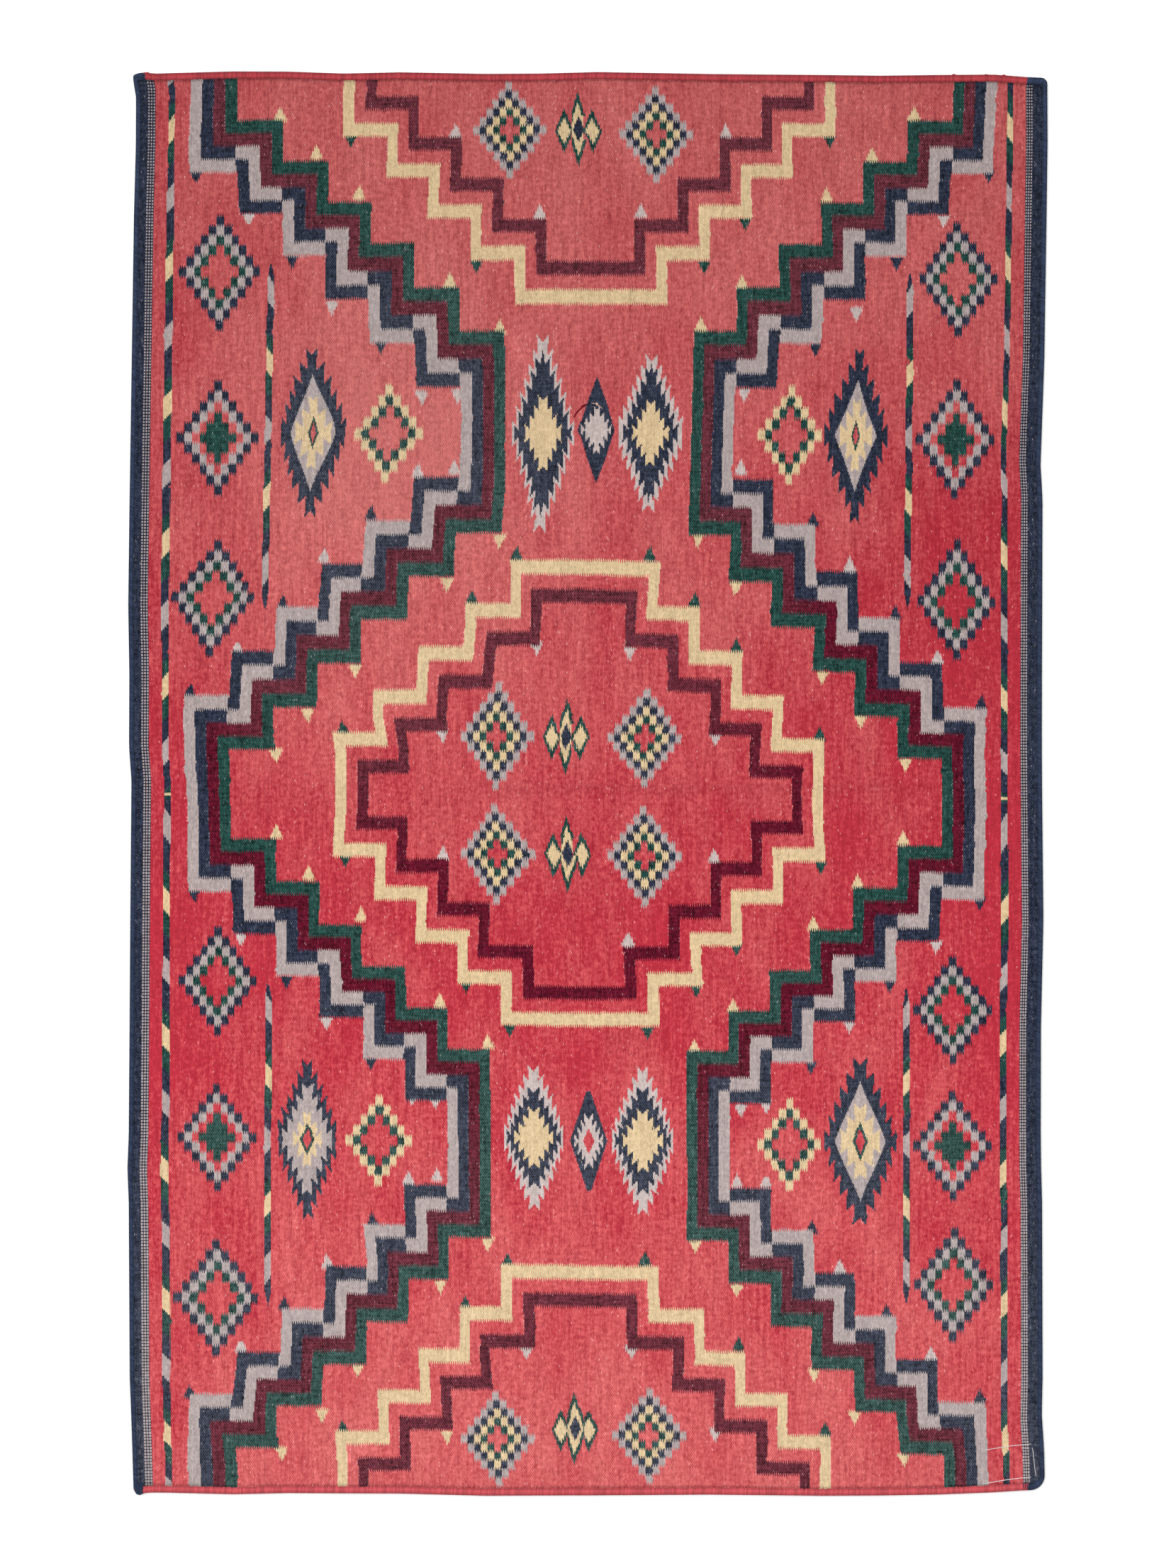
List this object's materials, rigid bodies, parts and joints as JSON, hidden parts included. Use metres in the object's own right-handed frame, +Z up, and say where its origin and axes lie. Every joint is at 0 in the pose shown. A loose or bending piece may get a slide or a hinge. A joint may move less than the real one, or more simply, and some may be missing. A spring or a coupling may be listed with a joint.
{
  "type": "flat-woven wool rug",
  "caption": "Flat-woven wool floor rug with stepped diamond bands, whipped in red yarn over its ends and in navy yarn down its sides.",
  "frame": {"origin": "on the ground under the middle of the rug, the bottom centre of its bounding box", "axes": "+X across the rug, +Y along it towards its top end, +Z up"},
  "size_m": [1.2011, 1.8592, 0.0086],
  "materials": {
    "patterned_web": "weft-faced wool tapestry weave in red, navy, green, maroon, pale yellow and grey",
    "red_whipping": "red wool yarn, wrapped close over the cloth's end",
    "navy_whipping": "navy wool yarn, wrapped aslant over the cloth's side"
  },
  "bodies": {
    "root": {"web": "patterned_web", "end_whipping_top": "red_whipping", "end_whipping_bottom": "red_whipping", "side_whipping_left": "navy_whipping", "side_whipping_right": "navy_whipping"}
  },
  "joints": []
}
